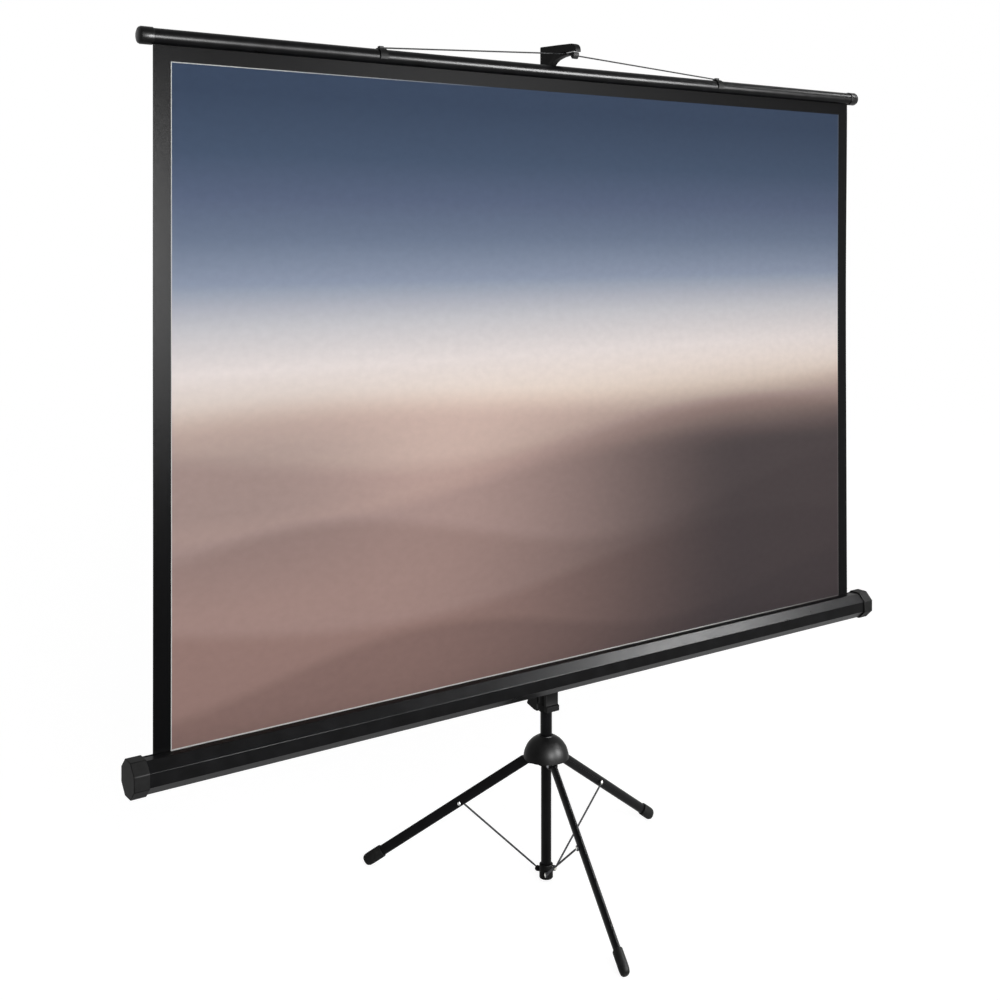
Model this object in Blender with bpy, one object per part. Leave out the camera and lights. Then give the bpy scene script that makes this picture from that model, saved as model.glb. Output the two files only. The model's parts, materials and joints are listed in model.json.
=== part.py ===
"""Tripod projection screen with a spring-roller case and a hooked top bar.

Metres, +Z up, floor at Z 0. X runs along the screen and -Y is the viewing side.
"""
import math

import bmesh
import bpy
from mathutils import Euler, Vector

MM = 0.001

# Spaces between pieces
GAP = 0.3 * MM
TURN_GAP = 0.2 * MM
SLIDE_GAP = 0.3 * MM

# Flats round a turned piece
ROUND = 24

# Round tubes of the stand
COLUMN_R = 12.5 * MM
TUBE_WALL = 1.2 * MM
BUSH_WALL = 1.2 * MM
POST_R = COLUMN_R - TUBE_WALL - SLIDE_GAP
POLE_R = POST_R - BUSH_WALL - GAP
COLUMN_Z = (0.248, 1.235)
POLE_Z = (0.905, 1.722)
POST_Z = (0.0083, 0.475)

# Hub, legs and stays
DOME_R = 48.3 * MM
DOME_WALL = 2.5 * MM
DOME_RIM_Z = 0.261
LEG_PIVOT_R = 34 * MM
LEG_PIVOT_Z = 0.256
LEG_HEADINGS = {"right": 14.5, "left": 134.5, "front": -105.5}
LEG_LENGTH = 0.430
LEG_END_Z = 9.36213237 * MM
LEG_ANGLE = math.acos((LEG_PIVOT_Z - LEG_END_Z) / LEG_LENGTH)
LEG_WIDTH = 13.4 * MM
LEG_DEPTH = 22 * MM
LEG_WALL = 1.2 * MM
LEG_RISE = 3.6 * MM
PIN_R = 3 * MM
LUG_WALL = 2.5 * MM
LUG_R = 8 * MM
STAY_AT = (0.187, 1 * MM)
STAY_R = 2 * MM
STAY_EYE_R = 5.5 * MM
STAY_PIN_R = 2.3 * MM
STAY_EYE_BACK = 0.5 * MM
STAY_ASIDE = LEG_WIDTH / 2 + GAP + STAY_R
COLLAR_PIVOT_R = 19.5 * MM
COLLAR_PIVOT_Z = 20 * MM
FOOT_LENGTH = 46 * MM
FOOT_R = (13.5 * MM, 9.8 * MM)

# Screen, bar and case
CASE_HALF = 0.9325
ROLLER_HALF = CASE_HALF - 39.5 * MM
SCREEN_Y = -0.062
FABRIC_HALF = ROLLER_HALF - 7.3 * MM
FABRIC_THICK = 0.45 * MM
BAR_Z = 1.706
BAR_R = 14 * MM
BAR_HALF = FABRIC_HALF + 16.3 * MM
BAIL_R = 1.5 * MM
BAIL_HALF = 0.44
BAIL_TOP_Z = 1.7465
CASE_Y = -0.070
CASE_Z = 0.456
CASE_FLAT = 28.5 * MM
CASE_WALL = 1.5 * MM
CAP_LENGTH = 28 * MM
CAP_WALL = 3 * MM
SLOT_HALF = 2.4 * MM
ROLLER_R = 12.5 * MM
WOUND_TURNS = 1.2
TURN_PITCH = FABRIC_THICK + GAP
TURNS_R = ROLLER_R + GAP + TURN_PITCH * WOUND_TURNS + FABRIC_THICK
ROLLER_Y = SCREEN_Y - FABRIC_THICK / 2 - GAP - TURNS_R


def clear_scene():
    """Remove every object, so that the file holds this model alone."""
    for obj in list(bpy.data.objects):
        bpy.data.objects.remove(obj, do_unlink=True)


def finish(name, colour, roughness, metallic=0.0):
    """Make a plain material from a linear colour."""
    material = bpy.data.materials.new(name)
    material.use_nodes = True
    shader = material.node_tree.nodes["Principled BSDF"]
    shader.inputs["Base Color"].default_value = (*colour, 1.0)
    shader.inputs["Roughness"].default_value = roughness
    shader.inputs["Metallic"].default_value = metallic
    material.diffuse_color = (*colour, 1.0)
    return material


LOOKS = {
    "paint": ((0.012, 0.012, 0.013), 0.35, 0.0),
    "moulding": ((0.015, 0.015, 0.015), 0.5, 0.0),
    "zinc": ((0.62, 0.62, 0.60), 0.35, 1.0),
    "steel": ((0.45, 0.45, 0.46), 0.4, 1.0),
    "rubber": ((0.02, 0.02, 0.02), 0.8, 0.0),
    "nylon": ((0.75, 0.74, 0.70), 0.5, 0.0),
    "fabric": ((0.82, 0.82, 0.80), 0.9, 0.0),
}


def axis_point(name, parent, location=(0, 0, 0), rotation=(0, 0, 0)):
    """Make an empty on a joint's axis, which the pieces that move there hang from."""
    empty = bpy.data.objects.new(name, None)
    empty.empty_display_size = 0.03
    empty.parent = parent
    empty.location = location
    empty.rotation_euler = rotation
    bpy.context.collection.objects.link(empty)
    return empty


def piece(name, bm, look, parent, location=(0, 0, 0), rotation=(0, 0, 0), sharp=38):
    """Turn a bmesh into a named object with its own material."""
    bmesh.ops.remove_doubles(bm, verts=bm.verts, dist=1e-6)
    bmesh.ops.recalc_face_normals(bm, faces=bm.faces)
    mesh = bpy.data.meshes.new(name)
    bm.to_mesh(mesh)
    bm.free()
    mesh.shade_smooth()
    mesh.set_sharp_from_angle(angle=math.radians(sharp))
    if look:
        mesh.materials.append(finish(name + "_" + look, *LOOKS[look]))
    obj = bpy.data.objects.new(name, mesh)
    obj.parent = parent
    obj.location = location
    obj.rotation_euler = rotation
    bpy.context.collection.objects.link(obj)
    return obj


def shape_with(obj, operation, bm, location=(0, 0, 0), rotation=(0, 0, 0), parent=None):
    """Cut, keep or add a shape on a piece with an exact Boolean and a hidden guide."""
    name = obj.name + "_guide_" + str(len(obj.modifiers) + 1)
    guide = piece(name, bm, None, parent or obj.parent, location, rotation)
    guide.hide_render = True
    guide.display_type = "WIRE"
    modifier = obj.modifiers.new(operation.title(), "BOOLEAN")
    modifier.operation = operation
    modifier.solver = "EXACT"
    modifier.object = guide
    return guide


def turned(profile, steps=ROUND, axis="Z"):
    """Spin a closed outline of (radius, height) points round an axis."""
    bm = bmesh.new()
    verts = [bm.verts.new((r, 0, h)) for r, h in profile]
    pairs = list(zip(verts, verts[1:]))
    if profile[0][0] > 0:
        pairs.append((verts[-1], verts[0]))
    edges = [bm.edges.new(pair) for pair in pairs]
    bmesh.ops.spin(bm, geom=verts + edges, cent=(0, 0, 0), axis=(0, 0, 1), angle=math.tau,
                   steps=steps, use_duplicate=False)
    bmesh.ops.remove_doubles(bm, verts=bm.verts, dist=1e-6)
    turn_to(bm, axis)
    return bm


def turn_to(bm, axis):
    """Lay a shape made along Z along X or Y instead."""
    for vert in bm.verts:
        x, y, z = vert.co
        if axis == "X":
            vert.co = (z, x, y)
        elif axis == "Y":
            vert.co = (y, z, x)


def sheet_cut(outline, low, high, axis="Z", holes=()):
    """Extrude a flat outline, with any holes, from low to high along an axis.

    The outline's two numbers are X, Y for axis Z, Y, Z for axis X and Z, X for axis Y.
    """
    bm = bmesh.new()
    for loop in [outline, *holes]:
        verts = [bm.verts.new((a, b, low)) for a, b in loop]
        for start, end in zip(verts, verts[1:] + verts[:1]):
            bm.edges.new((start, end))
    bmesh.ops.triangle_fill(bm, use_beauty=True, edges=bm.edges[:])
    grown = bmesh.ops.extrude_face_region(bm, geom=bm.faces[:])
    moved = [item for item in grown["geom"] if isinstance(item, bmesh.types.BMVert)]
    bmesh.ops.translate(bm, verts=moved, vec=(0, 0, high - low))
    turn_to(bm, axis)
    return bm


def block(low, high, bevel=0.0):
    """Make a box between two corners, with its edges chamfered if a bevel is given."""
    bm = bmesh.new()
    bmesh.ops.create_cube(bm, size=1)
    size = Vector(high) - Vector(low)
    middle = (Vector(high) + Vector(low)) / 2
    bmesh.ops.scale(bm, vec=size, verts=bm.verts)
    bmesh.ops.translate(bm, vec=middle, verts=bm.verts)
    if bevel:
        bmesh.ops.bevel(bm, geom=bm.edges[:], offset=bevel, segments=1, affect="EDGES")
    return bm


def lofted(rings):
    """Bridge closed rings of points into a solid with flat ends."""
    bm = bmesh.new()
    loops = []
    for ring in rings:
        verts = [bm.verts.new(point) for point in ring]
        loops.append([bm.edges.new(pair) for pair in zip(verts, verts[1:] + verts[:1])])
    for lower, upper in zip(loops, loops[1:]):
        bmesh.ops.bridge_loops(bm, edges=lower + upper)
    bmesh.ops.holes_fill(bm, edges=bm.edges[:], sides=0)
    return bm


def arc(centre, radius, start, end, count):
    """Points on an arc, in degrees, both ends included."""
    angles = [math.radians(start + (end - start) * i / (count - 1)) for i in range(count)]
    return [(centre[0] + radius * math.cos(a), centre[1] + radius * math.sin(a)) for a in angles]


def ring_profile(inner, outer, low, high):
    """Cross-section of a plain tube."""
    return [(inner, low), (outer, low), (outer, high), (inner, high)]


def rivet_profile(shank, half, head, rise):
    """Cross-section of a rivet with a low dome on both ends."""
    one = [(0.6 * head, -half - rise), (head, -half - 0.35 * rise), (head, -half), (shank, -half)]
    other = [(r, -h) for r, h in reversed(one)]
    return [(0, -half - rise), *one, *other, (0, half + rise)]


def octagon(flat, centre):
    """Corners of a regular octagon in Y, Z, with a flat on top."""
    corner = flat / math.cos(math.pi / 8)
    angles = [math.pi / 8 + math.pi / 4 * i for i in range(8)]
    return [(centre[0] + corner * math.cos(a), centre[1] + corner * math.sin(a)) for a in angles]


clear_scene()
base = axis_point("column_axis", None)

# Column: the fixed upper tube, with a nylon bush and a moulded collar on top
bush_depth = 30 * MM
collar_r = COLUMN_R + 4 * MM
column_top = COLUMN_Z[1]
pole_hole = POLE_R + GAP
piece("column_tube", turned(ring_profile(COLUMN_R - TUBE_WALL, COLUMN_R, *COLUMN_Z), ROUND), "paint", base)
piece("pole_bush", turned(ring_profile(pole_hole, POST_R, column_top - bush_depth, column_top), ROUND),
      "nylon", base)
collar_outline = [
    (COLUMN_R + GAP, column_top - 40 * MM), (collar_r, column_top - 40 * MM),
    (collar_r, column_top + 6 * MM), (collar_r - 2 * MM, column_top + 8 * MM),
    (pole_hole, column_top + 8 * MM), (pole_hole, column_top + GAP),
    (COLUMN_R + GAP, column_top + GAP)]
top_collar = piece("column_collar", turned(collar_outline, ROUND), "moulding", base)
latch_y = collar_r + 7 * MM
latch_z = column_top - 14 * MM
latch_half = 4 * MM
cheek = [(collar_r - 2 * MM, latch_z - 9 * MM), (latch_y + 1 * MM, latch_z - 6 * MM),
         *arc((latch_y, latch_z), 4.5 * MM, -60, 90, 6), (collar_r - 2 * MM, latch_z + 9 * MM)]
for side in (-1, 1):
    near = side * (latch_half + GAP)
    far = side * (latch_half + GAP + 2.5 * MM)
    shape_with(top_collar, "UNION", sheet_cut(cheek, min(near, far), max(near, far), "X"))
latch_pin_r = 1.5 * MM
pin_reach = latch_half + GAP + 2.5 * MM
latch_hole = latch_pin_r + TURN_GAP
drill = [(0, -0.02), (latch_hole, -0.02), (latch_hole, 0.02), (0, 0.02)]
shape_with(top_collar, "DIFFERENCE", turned(drill, 12, "X"), (0, latch_y, latch_z))
latch_axis = axis_point("latch_axis", base, (0, latch_y, latch_z))
latch_outline = [(-3.2 * MM, -4 * MM), (3.2 * MM, -4 * MM), (5 * MM, 1 * MM), (13 * MM, 11 * MM),
                 (14 * MM, 15 * MM), (10.5 * MM, 15 * MM), (1.5 * MM, 5.5 * MM), (-3.2 * MM, 4 * MM)]
latch_bore = arc((0, 0), latch_hole, 0, 330, 12)
piece("pole_latch", sheet_cut(latch_outline, -latch_half, latch_half, "X", [latch_bore]), "moulding",
      latch_axis)
latch_pin = [(0, -pin_reach - 1 * MM), (2.4 * MM, -pin_reach - 1 * MM), (2.4 * MM, -pin_reach - GAP),
             (latch_pin_r, -pin_reach - GAP), (latch_pin_r, pin_reach + 1 * MM), (0, pin_reach + 1 * MM)]
piece("latch_pin", turned(latch_pin, 12, "X"), "zinc", base, (0, latch_y, latch_z))

# Hub: a cast core with three pairs of lugs, under a domed cover
sleeve_r = COLUMN_R + 5 * MM
lug_near = LEG_WIDTH / 2 + GAP
lug_far = lug_near + LUG_WALL
pin_hole = PIN_R + TURN_GAP
hub_core = piece("hub_core", turned(ring_profile(COLUMN_R + GAP, sleeve_r, 0.246, 0.300), ROUND), "moulding",
                 base)
lug_outline = [(0.282, 14 * MM), (LEG_PIVOT_Z - LUG_R, 14 * MM),
               *[(z, x) for x, z in arc((LEG_PIVOT_R, LEG_PIVOT_Z), LUG_R, -90, 90, 9)]]
for heading in LEG_HEADINGS.values():
    turn = (0, 0, math.radians(heading))
    for side in (-1, 1):
        low, high = sorted((side * lug_near, side * lug_far))
        shape_with(hub_core, "UNION", sheet_cut(lug_outline, low, high, "Y"), (0, 0, 0), turn)
for heading in LEG_HEADINGS.values():
    reach = lug_far + 5 * MM
    place = (LEG_PIVOT_R * math.cos(math.radians(heading)), LEG_PIVOT_R * math.sin(math.radians(heading)),
             LEG_PIVOT_Z)
    shape_with(hub_core, "DIFFERENCE",
               turned([(0, -reach), (pin_hole, -reach), (pin_hole, reach), (0, reach)], 16, "Y"),
               place, (0, 0, math.radians(heading)))
neck_r = COLUMN_R + 3 * MM
neck_z = DOME_RIM_Z + math.sqrt(DOME_R ** 2 - neck_r ** 2)
inside_r = DOME_R - DOME_WALL
crown = math.degrees(math.acos(neck_r / DOME_R))
hollow = math.degrees(math.acos((COLUMN_R + GAP) / inside_r))
dome_outline = [*arc((0, DOME_RIM_Z), DOME_R, 0, crown, 8), (neck_r - 0.5 * MM, neck_z + 1.5 * MM),
                (COLUMN_R + GAP, neck_z + 1.5 * MM), *arc((0, DOME_RIM_Z), inside_r, hollow, 0, 7)]
piece("hub_dome", turned(dome_outline, 28), "moulding", base)

# Lower post, which slides inside the column, with the stay collar at its foot
post_axis = axis_point("post_axis", base)
piece("post_tube", turned(ring_profile(POST_R - TUBE_WALL, POST_R, *POST_Z), ROUND), "paint", post_axis)
plug_r = POST_R - TUBE_WALL - GAP
plug_outline = [(0, 5 * MM), (POST_R - 1 * MM, 5 * MM), (POST_R, 6 * MM), (POST_R, POST_Z[0] - GAP),
                (plug_r, POST_Z[0] - GAP), (plug_r, 20 * MM), (0, 20 * MM)]
piece("post_plug", turned(plug_outline, ROUND), "moulding", post_axis)
ring_r = POST_R + 3.6 * MM
ear_near = STAY_R + GAP - STAY_ASIDE
ear_far = ear_near + 2.5 * MM
collar_ring = [(POST_R + GAP, 5.5 * MM), (ring_r - 1 * MM, 5.5 * MM), (ring_r, 7 * MM), (ring_r, 34 * MM),
               (ring_r - 1 * MM, 35 * MM), (POST_R + GAP, 35 * MM)]
collar = piece("stay_collar", turned(collar_ring, ROUND), "moulding", post_axis)
ear_outline = [(COLLAR_PIVOT_Z + STAY_EYE_R, 11.8 * MM), (COLLAR_PIVOT_Z - STAY_EYE_R, 11.8 * MM),
               *[(z, x) for x, z in arc((COLLAR_PIVOT_R, COLLAR_PIVOT_Z), STAY_EYE_R, -90, 90, 9)]]
for heading in LEG_HEADINGS.values():
    turn = (0, 0, math.radians(heading))
    shape_with(collar, "UNION", sheet_cut(ear_outline, ear_near, ear_far, "Y"), (0, 0, 0), turn)
    button = [(0, -1 * MM), (3.4 * MM, -1 * MM), (3.4 * MM, 0.6 * MM), (2.2 * MM, 1.4 * MM), (0, 1.4 * MM)]
    aside = Vector((COLLAR_PIVOT_R, ear_far, COLLAR_PIVOT_Z))
    aside.rotate(Euler(turn))
    shape_with(collar, "UNION", turned(button, 12, "Y"), aside, turn)


def oval(x, tall, wide, count=20):
    """Ring of points across a leg at distance x from its pivot."""
    angles = [math.tau * i / count for i in range(count)]
    return [(x, wide * math.cos(a), LEG_RISE + tall * math.sin(a)) for a in angles]


def make_leg(side, heading):
    """One leg with its foot, pins and stay, at one heading round the column."""
    turn = math.radians(heading)
    place = Vector((LEG_PIVOT_R * math.cos(turn), LEG_PIVOT_R * math.sin(turn), LEG_PIVOT_Z))
    down = math.pi / 2 - LEG_ANGLE
    hinge = axis_point("leg_axis_" + side, base, place, (0, down, turn))
    half = LEG_WIDTH / 2
    section = [(y, z) for x, y, z in oval(0, LEG_DEPTH / 2, half)]
    inside = [(y, z) for x, y, z in oval(0, LEG_DEPTH / 2 - LEG_WALL, half - LEG_WALL)]
    tube = sheet_cut(section, -LUG_R - 1 * MM, LEG_LENGTH, "X", [inside])
    leg = piece("leg_" + side, tube, "paint", hinge)
    low = LEG_RISE - LEG_DEPTH / 2 - 1 * MM
    high = LEG_RISE + LEG_DEPTH / 2 + 1 * MM
    far = LEG_LENGTH + 5 * MM
    profile = [(low, 8 * MM), (low, far), (high, far), (high, 15 * MM),
               *[(z, x) for x, z in arc((0, 0), LUG_R, 60, 270, 12)]]
    shape_with(leg, "INTERSECT", sheet_cut(profile, -half - 2 * MM, half + 2 * MM, "Y"))
    wide = half + 3 * MM
    rivet_at = (STAY_AT[0], 0, STAY_AT[1])
    for at, radius, flats in (((0, 0, 0), pin_hole, 16), (rivet_at, STAY_PIN_R + TURN_GAP, 12)):
        drill = [(0, -wide), (radius, -wide), (radius, wide), (0, wide)]
        shape_with(leg, "DIFFERENCE", turned(drill, flats, "Y"), at)
    pin = rivet_profile(PIN_R, lug_far + GAP, 5 * MM, 1.8 * MM)
    piece("hinge_pin_" + side, turned(pin, 16, "Y"), "steel", base, place, (0, 0, turn))
    near = STAY_ASIDE + STAY_EYE_BACK + GAP
    pin = rivet_profile(STAY_PIN_R, (near + half + GAP) / 2, 3.6 * MM, 1.2 * MM)
    piece("stay_rivet_" + side, turned(pin, 12, "Y"), "zinc", hinge,
          (STAY_AT[0], (half + GAP - near) / 2, STAY_AT[1]))
    make_foot(side, hinge)
    reach = Vector((COLLAR_PIVOT_R - LEG_PIVOT_R, COLLAR_PIVOT_Z - LEG_PIVOT_Z))
    reach -= STAY_AT[0] * Vector((math.sin(LEG_ANGLE), -math.cos(LEG_ANGLE)))
    reach -= STAY_AT[1] * Vector((math.cos(LEG_ANGLE), math.sin(LEG_ANGLE)))
    make_stay(side, hinge, reach.length, math.atan2(-reach.y, reach.x) - down)


def make_foot(side, hinge):
    """Rubber boot over the end of a leg, flat where it stands on the floor."""
    start = LEG_LENGTH + 11 * MM - FOOT_LENGTH
    tall, wide = FOOT_R
    swell = [(0, 0.96), (0.03, 0.99), (0.3, 1.0), (0.66, 1.0), (0.82, 0.97), (0.92, 0.88), (0.98, 0.7),
             (1.0, 0.52)]
    rings = [oval(start + FOOT_LENGTH * along, tall * size, wide * size) for along, size in swell]
    foot = piece("foot_" + side, lofted(rings), "rubber", hinge)
    socket = [(y, z) for x, y, z in oval(0, LEG_DEPTH / 2 + GAP, LEG_WIDTH / 2 + GAP)]
    shape_with(foot, "DIFFERENCE", sheet_cut(socket, start - 5 * MM, LEG_LENGTH + GAP, "X"))
    shape_with(foot, "DIFFERENCE", block((-1, -1, -0.1), (1, 1, 0)), parent=base)


def make_stay(side, hinge, length, angle):
    """Zinc rod with a flattened eye at each end, hinged on one side of the leg."""
    swing = axis_point("stay_axis_" + side, hinge, (STAY_AT[0], -STAY_ASIDE, STAY_AT[1]), (0, angle, 0))
    root = STAY_EYE_R - 0.7 * MM
    rod = [(0, root), (1.4 * MM, root), (STAY_R, 14 * MM), (STAY_R, length - 14 * MM),
           (1.4 * MM, length - root), (0, length - root)]
    stay = piece("stay_" + side, turned(rod, 12, "X"), "zinc", swing)
    low, high = -STAY_EYE_BACK, STAY_R
    hole = STAY_PIN_R + TURN_GAP
    for at in (0, length):
        eye = [(0, low), (STAY_EYE_R, low), (STAY_EYE_R, high), (0, high)]
        drill = [(0, -9 * MM), (hole, -9 * MM), (hole, 9 * MM), (0, 9 * MM)]
        shape_with(stay, "UNION", turned(eye, 12, "Y"), (at, 0, 0))
        shape_with(stay, "DIFFERENCE", turned(drill, 12, "Y"), (at, 0, 0))
    rivet = [(0, low - GAP - 1.3 * MM), (2.4 * MM, low - GAP - 1.3 * MM), (4 * MM, low - GAP - 0.5 * MM),
             (4 * MM, low - GAP), (STAY_PIN_R, low - GAP), (STAY_PIN_R, high), (0, high)]
    piece("stay_pin_" + side, turned(rivet, 12, "Y"), "zinc", swing, (length, 0, 0))


for side, heading in LEG_HEADINGS.items():
    make_leg(side, heading)

# Case: an octagonal shell with a slot along its top flat and a moulded cap on each end
case_axis = axis_point("case_axis", base)
case_centre = (CASE_Y, CASE_Z)
slot = (SCREEN_Y - SLOT_HALF, SCREEN_Y + SLOT_HALF)
inner_flat = CASE_FLAT - CASE_WALL
shell_half = CASE_HALF - CAP_WALL - GAP
outer = octagon(CASE_FLAT, case_centre)
inner = octagon(inner_flat, case_centre)
top = CASE_Z + CASE_FLAT
lip = top - CASE_WALL - 4 * MM
shell_outline = [(slot[0], top), *outer[2:], *outer[:2], (slot[1], top), (slot[1], top - CASE_WALL),
                 *inner[1::-1], *inner[:1:-1], (slot[0] - 1 * MM, top - CASE_WALL), (slot[0] - 1 * MM, lip),
                 (slot[0], lip)]
piece("case_shell", sheet_cut(shell_outline, -shell_half, shell_half, "X"), "paint", case_axis, sharp=20)
cap_flat = CASE_FLAT + GAP + 2.5 * MM
boss_r = 10 * MM
arbor_r = 3 * MM
for name, side in (("case_cap_left", -1), ("case_cap_right", 1)):
    reach = sorted((side * (CASE_HALF - CAP_LENGTH), side * CASE_HALF))
    cap = piece(name, sheet_cut(octagon(cap_flat, case_centre), *reach, "X"), "moulding", case_axis, sharp=20)
    reach = sorted((side * (CASE_HALF - CAP_LENGTH - 5 * MM), side * (CASE_HALF - CAP_WALL)))
    shape_with(cap, "DIFFERENCE", sheet_cut(octagon(CASE_FLAT + GAP, case_centre), *reach, "X"))
    boss = sorted((side * (CASE_HALF - CAP_WALL - 9 * MM), side * (CASE_HALF - 1 * MM)))
    boss_outline = [(0, boss[0]), (boss_r, boss[0]), (boss_r, boss[1]), (0, boss[1])]
    shape_with(cap, "UNION", turned(boss_outline, 20, "X"), (0, ROLLER_Y, CASE_Z))
    bore = arbor_r + TURN_GAP
    depth = sorted((side * (CASE_HALF - CAP_WALL - 12 * MM), side * (CASE_HALF - 2 * MM)))
    drill = [(0, depth[0]), (bore, depth[0]), (bore, depth[1]), (0, depth[1])]
    shape_with(cap, "DIFFERENCE", turned(drill, 16, "X"), (0, ROLLER_Y, CASE_Z))

# Spring roller: a steel tube on two plugs, with its counter-spring wound on a fixed rod
roller_axis = axis_point("roller_axis", case_axis, (0, ROLLER_Y, CASE_Z))
roller_in = ROLLER_R - 0.9 * MM
roller_ring = ring_profile(roller_in, ROLLER_R, -ROLLER_HALF, ROLLER_HALF)
piece("roller_tube", turned(roller_ring, ROUND, "X"), "steel", roller_axis)
stem = roller_in - GAP
plug_in = ROLLER_HALF - 18 * MM
plug_out = ROLLER_HALF + 5 * MM
pin_end = CASE_HALF - 2.6 * MM
right_plug = [(0, plug_in), (stem, plug_in), (stem, ROLLER_HALF + GAP), (ROLLER_R, ROLLER_HALF + GAP),
              (ROLLER_R, plug_out), (arbor_r + 2 * MM, plug_out + 2 * MM), (arbor_r, plug_out + 2 * MM),
              (arbor_r, pin_end), (0, pin_end)]
piece("roller_plug_right", turned(right_plug, ROUND, "X"), "nylon", roller_axis)
bearing = arbor_r + TURN_GAP
left_plug = [(bearing, -plug_out), (ROLLER_R, -plug_out), (ROLLER_R, -ROLLER_HALF - GAP),
             (stem, -ROLLER_HALF - GAP), (stem, -plug_in), (bearing, -plug_in)]
piece("roller_plug_left", turned(left_plug, ROUND, "X"), "nylon", roller_axis)
rod_end = 0.333 - ROLLER_HALF
piece("spring_rod", turned([(0, -pin_end), (arbor_r, -pin_end), (arbor_r, rod_end), (0, rod_end)], 16, "X"),
      "steel", case_axis, (0, ROLLER_Y, CASE_Z))


def coil_points(start, end, radius, turns, per_turn):
    """Points along a coil that runs in X, with its ends laid square across."""
    count = int(turns * per_turn)
    path = []
    for i in range(count + 1):
        share = i / count
        angle = math.tau * turns * share
        path.append((start + (end - start) * share, radius * math.cos(angle), radius * math.sin(angle)))
    return path


def tube_along(name, points, radius, look, parent, location=(0, 0, 0), sides=0):
    """Round wire along a line of points, with filled ends."""
    curve = bpy.data.curves.new(name, "CURVE")
    curve.dimensions = "3D"
    curve.bevel_depth = radius
    curve.bevel_resolution = sides
    curve.use_fill_caps = True
    spline = curve.splines.new("POLY")
    spline.points.add(len(points) - 1)
    for point, place in zip(spline.points, points):
        point.co = (*place, 1)
    curve.materials.append(finish(name + "_" + look, *LOOKS[look]))
    obj = bpy.data.objects.new(name, curve)
    obj.parent = parent
    obj.location = location
    bpy.context.collection.objects.link(obj)
    return obj


coil_wire = 1.1 * MM
coil_steps = 8
coil_r = (arbor_r + GAP + coil_wire) / math.cos(math.pi / coil_steps)
tube_along("roller_spring", coil_points(0.033 - ROLLER_HALF, rod_end - 0.01, coil_r, 9.75, coil_steps),
           coil_wire, "steel", case_axis, (0, ROLLER_Y, CASE_Z))

# Screen: the sheet that is pulled out, and the end of it that is still on the roller
sheet_low = CASE_Z
sheet_high = BAR_Z - BAR_R + 3 * MM
half_thick = FABRIC_THICK / 2
piece("screen_fabric", block((-FABRIC_HALF, SCREEN_Y - half_thick, sheet_low),
                             (FABRIC_HALF, SCREEN_Y + half_thick, sheet_high)), "fabric", case_axis)
steps = int(WOUND_TURNS * 32)
spiral_in = []
spiral_out = []
for i in range(steps + 1):
    behind = WOUND_TURNS * (1 - i / steps)
    angle = -math.tau * behind
    radius = TURNS_R - FABRIC_THICK - TURN_PITCH * behind
    spiral_in.append((radius * math.cos(angle), radius * math.sin(angle)))
    spiral_out.append(((radius + FABRIC_THICK) * math.cos(angle), (radius + FABRIC_THICK) * math.sin(angle)))
piece("wound_fabric", sheet_cut(spiral_out + spiral_in[::-1], -FABRIC_HALF, FABRIC_HALF, "X"), "fabric",
      roller_axis)

# Carriage: the moulded block that slides on the column and carries the case on a pivot bolt
back = CASE_Y + CASE_FLAT
plate_y = (back + GAP, back + GAP + 3 * MM)
pad_front = plate_y[1] + GAP
carriage_r = COLUMN_R + 3.5 * MM
carriage_z = (0.360, 0.520)
sleeve = [(COLUMN_R + SLIDE_GAP, carriage_z[0]), (carriage_r, carriage_z[0]), (carriage_r, 0.363),
          (carriage_r + 4 * MM, 0.3645), (carriage_r + 4 * MM, 0.3745), (carriage_r, 0.376),
          (carriage_r, carriage_z[1] - 2 * MM), (carriage_r - 1.5 * MM, carriage_z[1]),
          (COLUMN_R + SLIDE_GAP, carriage_z[1])]
carriage = piece("carriage", turned(sleeve, ROUND), "moulding", case_axis)
inside_sleeve = -COLUMN_R - 0.8 * MM
nose_half = 16 * MM
nose = [(inside_sleeve, 0.3634), (-24.8 * MM, 0.3634), (-24.8 * MM, 0.3747), (-20.5 * MM, 0.376),
        (-20.5 * MM, 0.412), (inside_sleeve, 0.418)]
shape_with(carriage, "UNION", sheet_cut(nose, -nose_half, nose_half, "X"))
pad = [(inside_sleeve, 0.400), (-20 * MM, 0.404), (pad_front, CASE_Z - 16 * MM),
       (pad_front, CASE_Z + 16 * MM), (inside_sleeve, CASE_Z + 34 * MM)]
shape_with(carriage, "UNION", sheet_cut(pad, -10 * MM, 10 * MM, "X"))
lever_y = carriage_r + 9 * MM
lever_z = 0.492
lever_half = 7 * MM
grip = [(COLUMN_R + 1.2 * MM, lever_z - 16 * MM), (lever_y + 1 * MM, lever_z - 7 * MM),
        *arc((lever_y, lever_z), 6 * MM, -60, 90, 7), (COLUMN_R + 1.2 * MM, lever_z + 12 * MM)]
for side in (-1, 1):
    low, high = sorted((side * (lever_half + GAP), side * (lever_half + GAP + 3 * MM)))
    shape_with(carriage, "UNION", sheet_cut(grip, low, high, "X"))
lever_pin_r = 2 * MM
lever_hole = lever_pin_r + TURN_GAP
drill = [(0, -0.02), (lever_hole, -0.02), (lever_hole, 0.02), (0, 0.02)]
shape_with(carriage, "DIFFERENCE", turned(drill, 16, "X"), (0, lever_y, lever_z))
bolt_r = 4 * MM
bolt_hole = bolt_r + TURN_GAP
drill = [(0, pad_front - 3 * MM), (bolt_hole, pad_front - 3 * MM), (bolt_hole, -COLUMN_R - 4 * MM),
         (0, -COLUMN_R - 4 * MM)]
shape_with(carriage, "DIFFERENCE", turned(drill, 16, "Y"), (0, 0, CASE_Z))
plate_box = block((-0.065, plate_y[0], CASE_Z - 11 * MM), (0.065, plate_y[1], CASE_Z + 11 * MM), 0.6 * MM)
plate = piece("case_plate", plate_box, "steel", case_axis)
bolt_from = plate_y[0] + 0.6 * MM
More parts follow.
